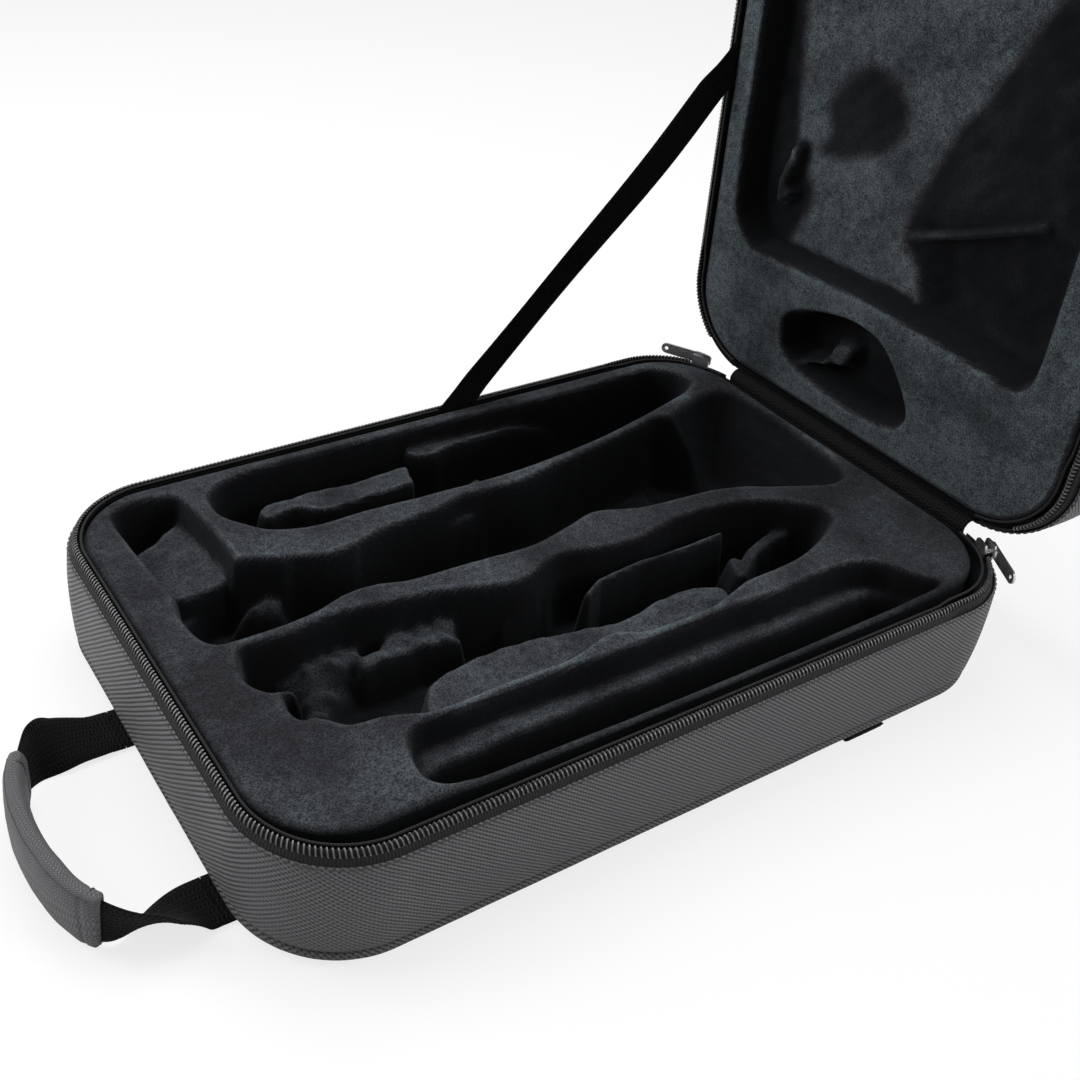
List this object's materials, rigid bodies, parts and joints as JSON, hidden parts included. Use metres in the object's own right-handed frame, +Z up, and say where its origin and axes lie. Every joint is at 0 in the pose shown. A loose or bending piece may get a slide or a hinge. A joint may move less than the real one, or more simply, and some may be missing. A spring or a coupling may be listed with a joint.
{
  "type": "clarinet case",
  "caption": "Soft zip case for clarinets with a hinged lid, plush moulded nests, a lid stay and a webbing carry handle.",
  "frame": {"origin": "the middle of the base's underside, on the surface that the case lies on", "axes": "+X to the short side with the fabric hinge and the open lid, +Y to the long side with the lid stay, +Z up"},
  "size_m": [0.4994, 0.258, 0.4484],
  "materials": {
    "nylon": "dark grey ballistic nylon",
    "foam": "dark foam padding",
    "board": "fibreboard stiffener",
    "tape": "black zip tape",
    "coil": "black nylon coil",
    "plush": "blue-black velour pile",
    "webbing": "black ribbed webbing",
    "metal": "dark zip metal"
  },
  "bodies": {
    "base": {"base_wall_cover": "nylon", "base_wall_foam": "foam", "base_bottom_cover": "nylon", "base_bottom_board": "board", "base_piping": "nylon", "base_zip_tape": "tape", "base_zip_coil": "coil", "base_insert": "plush", "base_hinge_strip": "webbing", "stay_strap_base_patch": "webbing", "handle_tab_back": "webbing", "handle_tab_front": "webbing", "bottom_strap_stub": "webbing", "stay_strap": "webbing"},
    "lid": {"lid_wall_cover": "nylon", "lid_wall_foam": "foam", "lid_top_cover": "nylon", "lid_top_board": "board", "lid_piping": "nylon", "lid_zip_tape": "tape", "lid_zip_coil": "coil", "lid_insert": "plush", "lid_hinge_strip": "webbing", "stay_strap_lid_patch": "webbing"},
    "handle": {"handle_webbing": "webbing", "handle_grip": "nylon"},
    "front_slider": {"zip_slider_front": "metal"},
    "front_pull": {"zip_pull_front": "metal"},
    "back_slider": {"zip_slider_back": "metal"},
    "back_pull": {"zip_pull_back": "metal"}
  },
  "joints": [
    {"name": "lid_hinge", "type": "hinge", "parent": "base", "child": "lid", "pos_m": [0.192, 0, 0.06], "axis": [0, -1, 0], "range_deg": [0, 86], "deforming": ["stay_strap"]},
    {"name": "handle_swing", "type": "hinge", "parent": "base", "child": "handle", "pos_m": [-0.1967, 0, 0.0021], "axis": [0, 1, 0], "range_deg": [0, 55]},
    {"name": "front_slider_travel", "type": "hinge", "parent": "base", "child": "front_slider", "pos_m": [0.1466, -0.0786, 0.06], "axis": [0, 0, -1], "range_deg": [0, 58]},
    {"name": "back_slider_travel", "type": "hinge", "parent": "base", "child": "back_slider", "pos_m": [0.1466, 0.0786, 0.06], "axis": [0, 0, 1], "range_deg": [0, 58]},
    {"name": "front_pull_swing", "type": "hinge", "parent": "front_slider", "child": "front_pull", "pos_m": [0.18726, -0.10207, 0.06], "axis": [0, 0, 1], "range_deg": [0, 100]},
    {"name": "back_pull_swing", "type": "hinge", "parent": "back_slider", "child": "back_pull", "pos_m": [0.18726, 0.10207, 0.06], "axis": [0, 0, -1], "range_deg": [0, 100]}
  ]
}
